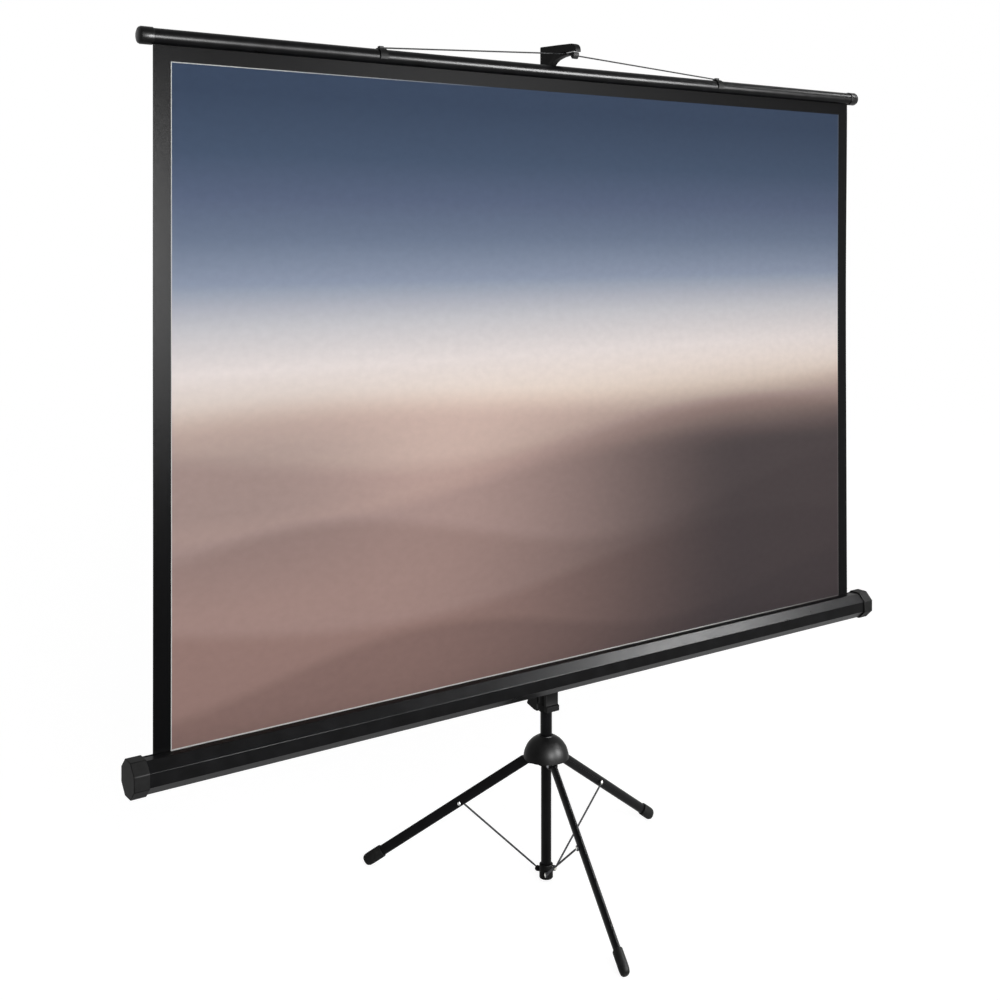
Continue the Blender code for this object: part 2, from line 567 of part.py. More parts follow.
shape_with(plate, "DIFFERENCE",
           turned([(0, bolt_from - GAP), (bolt_r + TURN_GAP, bolt_from - GAP), (bolt_r + TURN_GAP, 0),
                   (0, 0)], 16, "Y"), (0, 0, CASE_Z))
piece("pivot_bolt", turned([(0, bolt_from), (bolt_r, bolt_from), (bolt_r, -COLUMN_R - 4.5 * MM),
                            (0, -COLUMN_R - 4.5 * MM)], 16, "Y"), "zinc", case_axis, (0, 0, CASE_Z))
lever_axis = axis_point("lever_axis", case_axis, (0, lever_y, lever_z))
tip_y = 59.3 * MM - lever_y
lever_outline = [(-4 * MM, 4 * MM), (-5 * MM, -6 * MM), (-3.5 * MM, -40 * MM), (-3.5 * MM, 0.3545 - lever_z),
                 (-1.5 * MM, 0.3525 - lever_z), (9 * MM, 0.3525 - lever_z), (tip_y, 0.359 - lever_z),
                 (tip_y + 0.5 * MM, 0.362 - lever_z), (tip_y - 2 * MM, 0.366 - lever_z),
                 (20 * MM, 0.384 - lever_z), (12 * MM, -70 * MM), (7 * MM, -40 * MM), (5.5 * MM, -6 * MM),
                 (4 * MM, 4 * MM), (0, 6 * MM)]
lever_bore = arc((0, 0), lever_hole, 0, 337.5, 16)
piece("release_lever", sheet_cut(lever_outline, -lever_half, lever_half, "X", [lever_bore]), "moulding",
      lever_axis)
lever_reach = lever_half + GAP + 3 * MM
lever_pin = [(0, -lever_reach - 1.2 * MM), (3.2 * MM, -lever_reach - 1.2 * MM), (3.2 * MM, -lever_reach - GAP),
             (lever_pin_r, -lever_reach - GAP), (lever_pin_r, lever_reach + 1 * MM), (0, lever_reach + 1 * MM)]
piece("lever_pin", turned(lever_pin, 16, "X"), "zinc", case_axis, (0, lever_y, lever_z))

# Extension pole with the hanging hook, and the top bar with its bail
pole_axis = axis_point("pole_axis", case_axis)
piece("pole_tube", turned(ring_profile(POLE_R - TUBE_WALL, POLE_R, *POLE_Z), ROUND), "zinc", pole_axis)
shoe_r = POST_R
shoe = [(0, POLE_Z[0] - 12 * MM), (shoe_r, POLE_Z[0] - 12 * MM), (shoe_r, POLE_Z[0] - GAP),
        (POLE_R - TUBE_WALL - GAP, POLE_Z[0] - GAP), (POLE_R - TUBE_WALL - GAP, POLE_Z[0] + 14 * MM),
        (0, POLE_Z[0] + 14 * MM)]
piece("pole_shoe", turned(shoe, ROUND), "nylon", pole_axis)
hook_half = 6.75 * MM
sleeve_top = POLE_Z[1] + 6 * MM
sleeve_out = POLE_R + 3.5 * MM
hook_sleeve = [(POLE_R + GAP, 1.688), (sleeve_out, 1.688), (sleeve_out, sleeve_top), (0, sleeve_top),
               (0, POLE_Z[1] + GAP), (POLE_R + GAP, POLE_Z[1] + GAP)]
wire = (SCREEN_Y, BAIL_TOP_Z)
seat = BAIL_R + 0.5 * MM
hook_outline = [
    (0.012, POLE_Z[1] + 2 * MM), (0.012, 1.7665), (0.0105, 1.7680), (-0.056, 1.7655), (-0.0955, 1.7635),
    (-0.1030, 1.7608), (-0.1075, 1.7560), (-0.1090, 1.7510), (-0.1092, 1.7468), (-0.1080, 1.7452),
    (-0.1066, 1.7462), (-0.1040, 1.7494), (-0.080, 1.7491), (wire[0], wire[1] + seat + 0.4 * MM),
    *arc(wire, seat, 50, -110, 8),
    (wire[0] - 4 * MM, wire[1] - 1.4 * MM), (-0.080, 1.7455), (-0.1015, 1.7458), (-0.1030, 1.7450),
    (-0.1038, 1.7412), (-0.1025, 1.7368), (-0.0995, 1.7325), (-0.0968, 1.7320), (-0.0940, 1.7355),
    (-0.0912, 1.7392), (-0.0860, 1.7413), (-0.075, 1.7412), (-0.0596, 1.7398), (-0.0426, 1.7362),
    (-0.0325, 1.7315), (-0.0262, 1.7262), (-0.0215, 1.7190), (-0.0180, 1.7110), (-0.0115, 1.7050),
    (-0.0115, POLE_Z[1] + 2 * MM)]
hook = piece("hook_head", sheet_cut(hook_outline, -hook_half, hook_half, "X"), "moulding", pole_axis)
shape_with(hook, "UNION", turned(hook_sleeve, ROUND))
screw_r = 1.6 * MM
shape_with(hook, "DIFFERENCE", turned([(0, POLE_R), (screw_r + TURN_GAP, POLE_R),
                                       (screw_r + TURN_GAP, sleeve_out + 2 * MM), (0, sleeve_out + 2 * MM)],
                                      12, "Y"), (0, 0, 1.700))
head = sleeve_out + GAP
piece("hook_screw", turned([(0, POLE_R + GAP), (screw_r, POLE_R + GAP), (screw_r, head), (3 * MM, head),
                            (2.4 * MM, head + 1.3 * MM), (0, head + 1.3 * MM)], 12, "Y"),
      "zinc", pole_axis, (0, 0, 1.700))

bar_in = BAR_R - TUBE_WALL
bar = piece("top_bar", turned(ring_profile(bar_in, BAR_R, -BAR_HALF, BAR_HALF), ROUND, "X"), "paint", pole_axis,
            (0, SCREEN_Y, BAR_Z))
groove = FABRIC_THICK / 2 + GAP
shape_with(bar, "DIFFERENCE", block((-BAR_HALF - 0.01, -groove, -BAR_R - 5 * MM),
                                    (BAR_HALF + 0.01, groove, -bar_in + 2 * MM)), (0, SCREEN_Y, BAR_Z))
cap_r = BAR_R + GAP + 1.2 * MM
for name, side in (("bar_cap_left", -1), ("bar_cap_right", 1)):
    x_in = FABRIC_HALF + 1 * MM
    x_out = BAR_HALF + 10.5 * MM
    cap_outline = [(BAR_R + GAP, x_in), (cap_r - 0.5 * MM, x_in), (cap_r, x_in + 1 * MM),
                   (cap_r, x_out - 5 * MM), (cap_r - 1.6 * MM, x_out - 1.6 * MM), (cap_r - 5 * MM, x_out),
                   (0, x_out), (0, BAR_HALF + GAP), (BAR_R + GAP, BAR_HALF + GAP)]
    cap_outline = [(r, side * x) for r, x in cap_outline]
    if side < 0:
        cap_outline.reverse()
    cap_outline = cap_outline[::-1] if cap_outline[0][0] == 0 else cap_outline
    piece(name, turned(cap_outline, ROUND, "X"), "moulding", pole_axis, (0, SCREEN_Y, BAR_Z))

anchor_top = 5.5 * MM
wire_rise = 2.6 * MM
saddle = BAR_R + GAP
for name, side in (("bail_anchor_left", -1), ("bail_anchor_right", 1)):
    wrap = [*arc((0, 0), saddle + 2 * MM, 200, -20, 15)[::-1], *arc((0, 0), saddle, 200, -20, 15)]
    anchor = piece(name, sheet_cut(wrap, -8 * MM, 8 * MM, "X"), "moulding", pole_axis,
                   (side * BAIL_HALF, SCREEN_Y, BAR_Z))
    shape_with(anchor, "UNION", block((-5 * MM, -4 * MM, saddle + 0.8 * MM), (5 * MM, 4 * MM, saddle + anchor_top),
                                      0.8 * MM), (side * BAIL_HALF, SCREEN_Y, BAR_Z))
    shape_with(anchor, "DIFFERENCE",
               turned([(0, -0.02), (BAIL_R + GAP, -0.02), (BAIL_R + GAP, 0.02), (0, 0.02)], 12, "X"),
               (side * BAIL_HALF, SCREEN_Y, BAR_Z + saddle + wire_rise))

# Bail: one wire from anchor to anchor over the hook
bail_end = (BAIL_HALF + 3 * MM, BAR_Z + saddle + wire_rise)


def bail_height(x):
    """Height of the wire: level inside its anchors, straight up to a rounded peak."""
    run = BAIL_HALF - 7 * MM
    peak = 6 * MM
    rise = (BAIL_TOP_Z - bail_end[1]) / (run - peak / 2)
    away = min(abs(x), run)
    if away < peak:
        return BAIL_TOP_Z - rise * away * away / (2 * peak)
    return BAIL_TOP_Z - rise * (away - peak / 2)


count = 40
bail = []
for i in range(count + 1):
    x = bail_end[0] * (2 * i / count - 1)
    bail.append((x, SCREEN_Y, bail_height(x)))
tube_along("bail_wire", bail, BAIL_R, "steel", pole_axis, sides=2)

# The origin is the middle of the floor space: the column stands a little behind it
bpy.context.view_layer.update()
depsgraph = bpy.context.evaluated_depsgraph_get()
reach_y = []
for obj in bpy.context.scene.objects:
    if obj.name.startswith("foot_") and not obj.hide_render:
        shape = obj.evaluated_get(depsgraph)
        reach_y += [(obj.matrix_world @ vert.co).y for vert in shape.data.vertices]
base.location.y = -(min(reach_y) + max(reach_y)) / 2
bpy.context.view_layer.update()
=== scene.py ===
# %% [markdown]
# # A tripod projection screen
# The stand, the spring-roller case and the pulled-up screen come in as finished solids. Here each solid
# gets softened edges and a real surface, and the screen itself becomes a sheet of coated cloth.

# %% Load the solids
import json
import math

import bmesh
import bpy
from mathutils import Matrix, Vector


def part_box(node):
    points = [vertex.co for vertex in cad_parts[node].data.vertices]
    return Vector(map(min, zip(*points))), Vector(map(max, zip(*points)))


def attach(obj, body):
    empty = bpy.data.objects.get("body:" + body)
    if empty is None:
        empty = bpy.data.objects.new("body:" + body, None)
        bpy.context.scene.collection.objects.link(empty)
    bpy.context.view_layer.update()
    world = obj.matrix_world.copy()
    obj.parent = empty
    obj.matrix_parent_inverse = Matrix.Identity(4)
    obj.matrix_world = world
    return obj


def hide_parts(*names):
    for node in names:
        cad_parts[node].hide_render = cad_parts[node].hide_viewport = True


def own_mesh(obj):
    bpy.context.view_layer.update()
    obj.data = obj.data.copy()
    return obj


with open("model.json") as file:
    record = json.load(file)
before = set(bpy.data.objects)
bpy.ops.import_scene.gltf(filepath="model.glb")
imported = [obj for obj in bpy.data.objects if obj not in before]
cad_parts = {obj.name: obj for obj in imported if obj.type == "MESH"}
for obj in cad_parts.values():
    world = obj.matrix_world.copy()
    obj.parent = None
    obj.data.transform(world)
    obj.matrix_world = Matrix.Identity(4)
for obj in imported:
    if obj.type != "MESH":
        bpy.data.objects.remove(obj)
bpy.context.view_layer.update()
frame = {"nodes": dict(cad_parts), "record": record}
nodes = frame["nodes"]
record = frame["record"]
MM = 0.001

# %% [markdown]
# ## Who moves with what
# The record lists the nodes of each moving body and the finish of each node. Two small tables make both easy
# to look up, so that no name has to be typed twice.

# %% Tables of bodies and finishes
body_of = {node: body for body, members in record["behaviour"]["bodies"].items() for node in members}
slot_of = {part["node"]: part["material_slot"] for part in record["subparts"]}
print("bodies:", sorted(set(body_of.values())))

# %% [markdown]
# ## The camera
# The photograph was taken from the left of the screen, a little above its middle, with the camera held
# level. A level camera keeps the uprights parallel, so the frame is shifted down and not tilted.

# %% Camera
column_y = sum(corner[1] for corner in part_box("column_tube")) / 2
camera = bpy.data.objects.new("camera", bpy.data.cameras.new("camera"))
bpy.context.collection.objects.link(camera)
camera.location = (-1.6995, -2.2392 + column_y, 1.3639)
camera.rotation_euler = (math.radians(90), 0, math.radians(-35.2))
camera.data.lens = 47.63
camera.data.sensor_width = 36
camera.data.shift_y = -0.2627
bpy.context.scene.camera = camera
print("camera at", [round(v, 3) for v in camera.location])

# %% [markdown]
# ## Colours and nodes
# Colours are written as the hex values that a paint chart or a colour picker gives. One function turns them
# into the linear values that the shader wants, and one adds a node with its settings and links.

# %% Helpers for materials


def linear(code):
    """Linear RGBA of an sRGB hex colour."""
    parts = [int(code[i:i + 2], 16) / 255 for i in (1, 3, 5)]
    return (*[p / 12.92 if p <= 0.04045 else ((p + 0.055) / 1.055) ** 2.4 for p in parts], 1.0)


def add(tree, kind, inputs=(), **settings):
    """Add a node, set its options, and give each input a value or a link."""
    node = tree.nodes.new(kind)
    for key, value in settings.items():
        setattr(node, key, value)
    for key, value in dict(inputs).items():
        if isinstance(value, bpy.types.NodeSocket):
            tree.links.new(value, node.inputs[key])
        else:
            node.inputs[key].default_value = value
    return node


def new_material(name):
    """An empty material with its shader and the object's own coordinates."""
    material = bpy.data.materials.new(name)
    material.use_nodes = True
    tree = material.node_tree
    tree.nodes.clear()
    shader = add(tree, "ShaderNodeBsdfPrincipled")
    add(tree, "ShaderNodeOutputMaterial", {"Surface": shader.outputs["BSDF"]})
    place = add(tree, "ShaderNodeTexCoord").outputs["Object"]
    return material, tree, shader, place


def stops(ramp, colours):
    """Set the stops of a colour ramp from pairs of place and hex colour."""
    points = ramp.color_ramp.elements
    while len(points) < len(colours):
        points.new(0.5)
    for point, (at, code) in zip(points, colours):
        point.position = at
        point.color = linear(code)


print("black paint #161617 is", [round(v, 4) for v in linear("#161617")[:3]])

# %% [markdown]
# ## Black enamel
# The tubes, the legs and the case are steel with a sprayed semi-gloss enamel. It looks smooth from afar, but
# its skin has a faint orange peel of about 2 mm, which breaks up the long highlights, and a trace of dust
# lies on it. A noise node's scale is one over the size of a blob, here 30 mm for the dust and 2 mm for the
# peel. The blacks stay deep although the room is white, so every black finish here has a low specular level.

# %% Enamel material


def make_enamel():
    """Semi-gloss black with a fine orange peel and a trace of dust."""
    material, tree, shader, place = new_material("sprayed_black_enamel")
    dust = add(tree, "ShaderNodeTexNoise", {"Vector": place, "Scale": 1 / (30 * MM), "Detail": 5.0})
    tone = add(tree, "ShaderNodeValToRGB", {"Fac": dust.outputs["Fac"]})
    stops(tone, [(0.35, "#09090a"), (0.75, "#101012")])
    gloss = add(tree, "ShaderNodeMapRange", {"Value": dust.outputs["Fac"], "To Min": 0.24, "To Max": 0.36})
    peel = add(tree, "ShaderNodeTexNoise", {"Vector": place, "Scale": 1 / (2 * MM), "Detail": 1.0})
    skin = add(tree, "ShaderNodeBump", {"Height": peel.outputs["Fac"], "Strength": 0.06,
                                        "Distance": 0.2 * MM})
    tree.links.new(tone.outputs["Color"], shader.inputs["Base Color"])
    tree.links.new(gloss.outputs["Result"], shader.inputs["Roughness"])
    tree.links.new(skin.outputs["Normal"], shader.inputs["Normal"])
    shader.inputs["IOR"].default_value = 1.5
    shader.inputs["Specular IOR Level"].default_value = 0.05
    return material


enamel = make_enamel()
print("made", enamel.name)

# %% [markdown]
# ## Moulded nylon
# Hub, dome, carriage, hook and caps are black glass-filled nylon from a spark-eroded mould. The grain of such
# a mould is about 0.3 mm. Drawn at its real size it would vanish, so it is drawn at 0.8 mm. The dome has a
# shallower, satin grain. The caps of the bar come from a polished mould and carry the bar's highlight on.

# %% Moulded nylon material


def make_moulding(name, rough, depth, shine):
    """Black nylon with a range of roughness, a depth of grain and a specular level."""
    material, tree, shader, place = new_material(name)
    cloud = add(tree, "ShaderNodeTexNoise", {"Vector": place, "Scale": 1 / (12 * MM), "Detail": 4.0})
    tone = add(tree, "ShaderNodeValToRGB", {"Fac": cloud.outputs["Fac"]})
    stops(tone, [(0.3, "#0a0a0a"), (0.7, "#111111")])
    gloss = add(tree, "ShaderNodeMapRange", {"Value": cloud.outputs["Fac"], "To Min": rough[0],
                                             "To Max": rough[1]})
    grain = add(tree, "ShaderNodeTexNoise", {"Vector": place, "Scale": 1 / (0.8 * MM), "Detail": 2.0})
    skin = add(tree, "ShaderNodeBump", {"Height": grain.outputs["Fac"], "Strength": depth,
                                        "Distance": 0.2 * MM})
    tree.links.new(tone.outputs["Color"], shader.inputs["Base Color"])
    tree.links.new(gloss.outputs["Result"], shader.inputs["Roughness"])
    tree.links.new(skin.outputs["Normal"], shader.inputs["Normal"])
    shader.inputs["IOR"].default_value = 1.53
    shader.inputs["Specular IOR Level"].default_value = shine
    return material


moulding = make_moulding("moulded_black_nylon", (0.46, 0.58), 0.15, 0.04)
satin = make_moulding("satin_black_nylon", (0.40, 0.48), 0.08, 0.06)
polished = make_moulding("polished_black_nylon", (0.26, 0.36), 0.03, 0.07)
print("made", moulding.name, "and", satin.name, "and", polished.name)

# %% [markdown]
# ## Zinc plate and drawn steel
# Rivets and the pole have a bright zinc plate: a pale metal with a faint blue and yellow cast and fine cloudy
# patches. The stay rods are bright zinc too, but they get a dark grey satin coat without metal: a painted
# dark reflection, which stands for the dark surroundings that the rods mirror. The bail wire is blued spring
# steel, an oxide and not bare metal, so it is shaded as a dark satin coat. The roller is plain drawn
# steel. Drawing pulls the patches into lines, so on wire and roller they are stretched twenty times that way.

# %% Metal materials
EVEN = (1, 1, 1)
ALONG_DRAW = (1 / 20, 1, 1)


def make_metal(name, colours, rough, blob, stretch, metallic=1.0):
    """Metal in three near colours, with cloudy patches of a size and a stretch."""
    material, tree, shader, place = new_material(name)
    stretched = add(tree, "ShaderNodeMapping", {"Vector": place, "Scale": stretch})
    cloud = add(tree, "ShaderNodeTexNoise", {"Vector": stretched.outputs["Vector"], "Scale": 1 / blob,
                                             "Detail": 2.0})
    tone = add(tree, "ShaderNodeValToRGB", {"Fac": cloud.outputs["Fac"]})
    stops(tone, list(zip((0.3, 0.5, 0.7), colours)))
    gloss = add(tree, "ShaderNodeMapRange", {"Value": cloud.outputs["Fac"], "To Min": rough[0],
                                             "To Max": rough[1]})
    skin = add(tree, "ShaderNodeBump", {"Height": cloud.outputs["Fac"], "Strength": 0.02,
                                        "Distance": 0.1 * MM})
    tree.links.new(tone.outputs["Color"], shader.inputs["Base Color"])
    tree.links.new(gloss.outputs["Result"], shader.inputs["Roughness"])
    tree.links.new(skin.outputs["Normal"], shader.inputs["Normal"])
    shader.inputs["Metallic"].default_value = metallic
    shader.inputs["Specular IOR Level"].default_value = 0.05
    return material


zinc = make_metal("bright_zinc_plate", ("#a9acb2", "#bdbdb9", "#c5c1b3"), (0.22, 0.34), 25 * MM, EVEN)
# The stays' dark grey is a painted dark reflection of the surroundings, on rods that are bright zinc.
zinc_with_painted_dark_reflection = make_metal("zinc_rod_with_painted_dark_reflection", ("#38393c", "#424347", "#4a4a48"), (0.50, 0.62), 30 * MM, EVEN,
                       metallic=0.0)
blued = make_metal("blued_spring_steel", ("#141517", "#1a1b1d", "#212223"), (0.45, 0.55), 10 * MM, ALONG_DRAW,
                   metallic=0.0)
steel = make_metal("drawn_steel", ("#6d6e71", "#7f8084", "#8f8f92"), (0.28, 0.42), 10 * MM, ALONG_DRAW)
print("made", ", ".join(metal.name for metal in (zinc, zinc_with_painted_dark_reflection, blued, steel)))

# %% [markdown]
# ## Rubber and natural nylon
# The boots on the legs are moulded rubber: matt, nearly black, with a little floor dust held in its skin. The
# bush, the shoe and the roller's plugs are nylon without colour, slightly see-through and creamy.

# %% Rubber and natural nylon materials


def make_rubber():
    """Matt black rubber with floor dust in patches of 7 mm."""
    material, tree, shader, place = new_material("moulded_rubber")
    dust = add(tree, "ShaderNodeTexNoise", {"Vector": place, "Scale": 1 / (7 * MM), "Detail": 6.0})
    tone = add(tree, "ShaderNodeValToRGB", {"Fac": dust.outputs["Fac"]})
    stops(tone, [(0.45, "#0e0e0e"), (0.8, "#1b1b1a")])
    skin = add(tree, "ShaderNodeBump", {"Height": dust.outputs["Fac"], "Strength": 0.2,
                                        "Distance": 0.4 * MM})
    tree.links.new(tone.outputs["Color"], shader.inputs["Base Color"])
    tree.links.new(skin.outputs["Normal"], shader.inputs["Normal"])
    shader.inputs["Roughness"].default_value = 0.62
    shader.inputs["IOR"].default_value = 1.52
    shader.inputs["Specular IOR Level"].default_value = 0.06
    return material


def make_natural_nylon():
    """Creamy nylon that light enters by about 2 mm."""
    material, tree, shader, place = new_material("natural_nylon")
    cloud = add(tree, "ShaderNodeTexNoise", {"Vector": place, "Scale": 1 / (10 * MM), "Detail": 3.0})
    tone = add(tree, "ShaderNodeValToRGB", {"Fac": cloud.outputs["Fac"]})
    stops(tone, [(0.3, "#d3cdbd"), (0.7, "#e2ddd0")])
    tree.links.new(tone.outputs["Color"], shader.inputs["Base Color"])
    shader.inputs["Roughness"].default_value = 0.45
    shader.inputs["IOR"].default_value = 1.53
    shader.inputs["Subsurface Weight"].default_value = 0.15
    shader.inputs["Subsurface Scale"].default_value = 2 * MM
    return material


rubber = make_rubber()
natural_nylon = make_natural_nylon()
print("made", rubber.name, "and", natural_nylon.name)

# %% [markdown]
# ## The screen cloth
# The screen is glass-fibre cloth with a matt white vinyl face and a black back. Its face has black borders,
# which give the picture a clean edge. The picture here is a set of soft bands, from a dusk blue at the top
# through a warm haze to mauve and brown, as a projector might throw it. The bands are drawn from the cloth's
# own UV map, so that they stay on the cloth when it is wound in: U runs across it and V up it, from 0 to 1.

# %% Sizes of the cloth
cloth_low, cloth_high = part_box("screen_fabric")
cloth_width = cloth_high[0] - cloth_low[0]
cloth_length = cloth_high[2] - cloth_low[2]
case_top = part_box("case_shell")[1][2]
bar_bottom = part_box("top_bar")[0][2]
side_border = 32 * MM
top_border = 27 * MM
white_line = 1.4 * MM
print("cloth", round(cloth_width, 4), "x", round(cloth_length, 4), "m")

# %% [markdown]
# Each band is the part of the cloth that lies below a gentle wave. The waves are laid one over another, each
# a little lower and darker, and their edges are soft, like layers of haze. A sine of U gives a wave, and a
# smooth step turns the height above or below it into a mask.

# %% Mask of one band


def wave_mask(tree, across, up, level, swing, beats, start, soft):
    """1 below a wave and 0 above it, with a soft edge."""
    turn = add(tree, "ShaderNodeMath", {0: across, 1: beats * math.tau, 2: start}, operation="MULTIPLY_ADD")
    sine = add(tree, "ShaderNodeMath", {0: turn.outputs[0]}, operation="SINE")
    height = add(tree, "ShaderNodeMath", {0: sine.outputs[0], 1: swing, 2: level}, operation="MULTIPLY_ADD")
    above = add(tree, "ShaderNodeMath", {0: up, 1: height.outputs[0]}, operation="SUBTRACT")
    mask = add(tree, "ShaderNodeMapRange", {"Value": above.outputs[0], "From Min": -soft, "From Max": soft,
                                            "To Min": 1.0, "To Max": 0.0}, interpolation_type="SMOOTHSTEP")
    return mask.outputs["Result"]


BANDS = [
    # level, swing, beats, start, softness, colour
    (0.462, 0.018, 0.90, 0.6, 0.030, "#dbc0b5"),
    (0.405, 0.030, 1.10, 2.4, 0.020, "#c9aba2"),
    (0.340, 0.040, 0.80, 4.4, 0.018, "#b89c95"),
    (0.262, 0.045, 1.25, 0.2, 0.016, "#a98d86"),
    (0.178, 0.040, 0.95, 3.0, 0.014, "#9c7f78"),
    (0.090, 0.035, 1.40, 5.1, 0.012, "#8c716b"),
]
print(len(BANDS), "bands between", BANDS[0][0], "and", BANDS[-1][0], "of the cloth's height")

# %% [markdown]
# The cloth has a fine crossed weave of about 0.4 mm, which is drawn at 1.2 mm so that it shows. A sine each
# way, multiplied together, gives its height.

# %% Weave
WEAVE_PITCH = 1.2 * MM


def weave_height(tree):
    """Height of a plain weave on the cloth's UV map."""
    flat = add(tree, "ShaderNodeUVMap", uv_map="cloth").outputs["UV"]
    size = (cloth_width / WEAVE_PITCH, cloth_length / WEAVE_PITCH, 1)
    scaled = add(tree, "ShaderNodeMapping", {"Vector": flat, "Scale": size}).outputs["Vector"]
    parts = add(tree, "ShaderNodeSeparateXYZ", {0: scaled})
    waves = []
    for axis in ("X", "Y"):
        turn = add(tree, "ShaderNodeMath", {0: parts.outputs[axis], 1: math.tau}, operation="MULTIPLY")
        waves.append(add(tree, "ShaderNodeMath", {0: turn.outputs[0]}, operation="SINE").outputs[0])
    return add(tree, "ShaderNodeMath", {0: waves[0], 1: waves[1]}, operation="MULTIPLY").outputs[0]


print("threads drawn across the cloth:", round(cloth_width / WEAVE_PITCH))

# %% [markdown]
# The picture is a gradient with the bands over it. Dusk darkens its lower right, and a greyer haze lies over
# the middle of its left side. Each is a ramp across times a ramp up. A Mix node keeps its two colours in
# sockets 6 and 7. The grain has 90 blobs across the cloth, about 20 mm each.

# %% Picture


def make_picture(tree, across, up, uv):
    """The soft bands in their colours, with a faint grain."""
    gradient = add(tree, "ShaderNodeValToRGB", {"Fac": up})
    stops(gradient, [(0.46, "#f6e3d4"), (0.54, "#efe5e2"), (0.604, "#cdccd1"), (0.666, "#929db2"),
                     (0.73, "#707d94"), (0.79, "#5c6882"), (0.853, "#495870"), (0.94, "#3c4a61")])
    colour = gradient.outputs["Color"]
    for level, swing, beats, start, soft, code in BANDS:
        share = wave_mask(tree, across, up, level, swing, beats, start, soft)
        band = add(tree, "ShaderNodeMix", {"Factor": share, 6: colour, 7: linear(code)}, data_type="RGBA")
        colour = band.outputs[2]
    rightward = add(tree, "ShaderNodeMapRange", {"Value": across, "From Min": 0.25, "From Max": 0.80,
                                                 "To Max": 0.92}, interpolation_type="SMOOTHSTEP")
    lower = add(tree, "ShaderNodeMapRange", {"Value": up, "From Min": 0.52, "From Max": 0.34},
                interpolation_type="SMOOTHSTEP")
    dusk = add(tree, "ShaderNodeMath", {0: rightward.outputs["Result"], 1: lower.outputs["Result"]},
               operation="MULTIPLY")
    dark = add(tree, "ShaderNodeMix", {"Factor": dusk.outputs[0], 6: colour, 7: linear("#3f3b3e")},
               data_type="RGBA")
    leftward = add(tree, "ShaderNodeMapRange", {"Value": across, "From Min": 0.40, "From Max": 0.10,
                                                "To Max": 0.42}, interpolation_type="SMOOTHSTEP")
    far_off = add(tree, "ShaderNodeValToRGB", {"Fac": up})
    stops(far_off, [(0.20, "#000000"), (0.34, "#ffffff"), (0.42, "#ffffff"), (0.54, "#000000")])
    haze = add(tree, "ShaderNodeMath", {0: leftward.outputs["Result"], 1: far_off.outputs["Color"]},
               operation="MULTIPLY")
    hazy = add(tree, "ShaderNodeMix", {"Factor": haze.outputs[0], 6: dark.outputs[2], 7: linear("#6b6566")},
               data_type="RGBA")
    grain = add(tree, "ShaderNodeTexNoise", {"Vector": uv, "Scale": 90.0, "Detail": 6.0})
    speck = add(tree, "ShaderNodeMapRange", {"Value": grain.outputs["Fac"], "To Min": 0.93, "To Max": 1.06})
    toned = add(tree, "ShaderNodeVectorMath", {0: hazy.outputs[2], "Scale": speck.outputs["Result"]},
                operation="SCALE")
    return toned.outputs["Vector"]


print("picture", round(cloth_width - 2 * side_border, 3), "m wide,", end=" ")
print(round(bar_bottom - top_border - case_top, 3), "m high")

# %% [markdown]
# The borders are masks on the same UV map: left of one line, right of another and above a third. The masks
# a little inside them give a thin line of bare vinyl round the picture, which fades out along the top and
# grows faint to the right.

# %% Borders and bare line


def outside(tree, across, up, inset):
    """1 beyond the sides, and 1 over the top, of a picture that lies an inset inside the borders."""
    side = (side_border + inset) / cloth_width
    top = (bar_bottom - top_border - inset - cloth_low[2]) / cloth_length
    left = add(tree, "ShaderNodeMath", {0: across, 1: side}, operation="LESS_THAN")
    right = add(tree, "ShaderNodeMath", {0: across, 1: 1 - side}, operation="GREATER_THAN")
    sides = add(tree, "ShaderNodeMath", {0: left.outputs[0], 1: right.outputs[0]}, operation="MAXIMUM")
    over = add(tree, "ShaderNodeMath", {0: up, 1: top}, operation="GREATER_THAN")
    return sides.outputs[0], over.outputs[0]


def bare_line(tree, across, up):
    """1 on the line of bare vinyl, and less where it fades."""
    bottom = (case_top + white_line - cloth_low[2]) / cloth_length
    under = add(tree, "ShaderNodeMath", {0: up, 1: bottom}, operation="LESS_THAN")
    sides, over = outside(tree, across, up, white_line)
    fade = add(tree, "ShaderNodeMapRange", {"Value": across, "From Min": 0.1, "From Max": 0.4,
                                            "To Min": 1.0, "To Max": 0.0})
    top_line = add(tree, "ShaderNodeMath", {0: over, 1: fade.outputs["Result"]}, operation="MULTIPLY")
    three_sides = add(tree, "ShaderNodeMath", {0: sides, 1: under.outputs[0]}, operation="MAXIMUM")
    bare = add(tree, "ShaderNodeMath", {0: three_sides.outputs[0], 1: top_line.outputs[0]},
               operation="MAXIMUM")
    faint = add(tree, "ShaderNodeMapRange", {"Value": across, "From Min": 0.70, "From Max": 0.95,
                                             "To Min": 1.0, "To Max": 0.15})
    shown = add(tree, "ShaderNodeMath", {0: bare.outputs[0], 1: faint.outputs["Result"]},
                operation="MULTIPLY")
    return shown.outputs[0]


print("borders", side_border / MM, "and", top_border / MM, "mm, bare line", white_line / MM, "mm")

# %% [markdown]
# The face joins the picture, the bare line and the borders. Vinyl is matt, so its roughness is high and its
# bump is slight. The black borders are smoother, most of all on the left, where they take a soft sheen.

# %% Face and back of the cloth


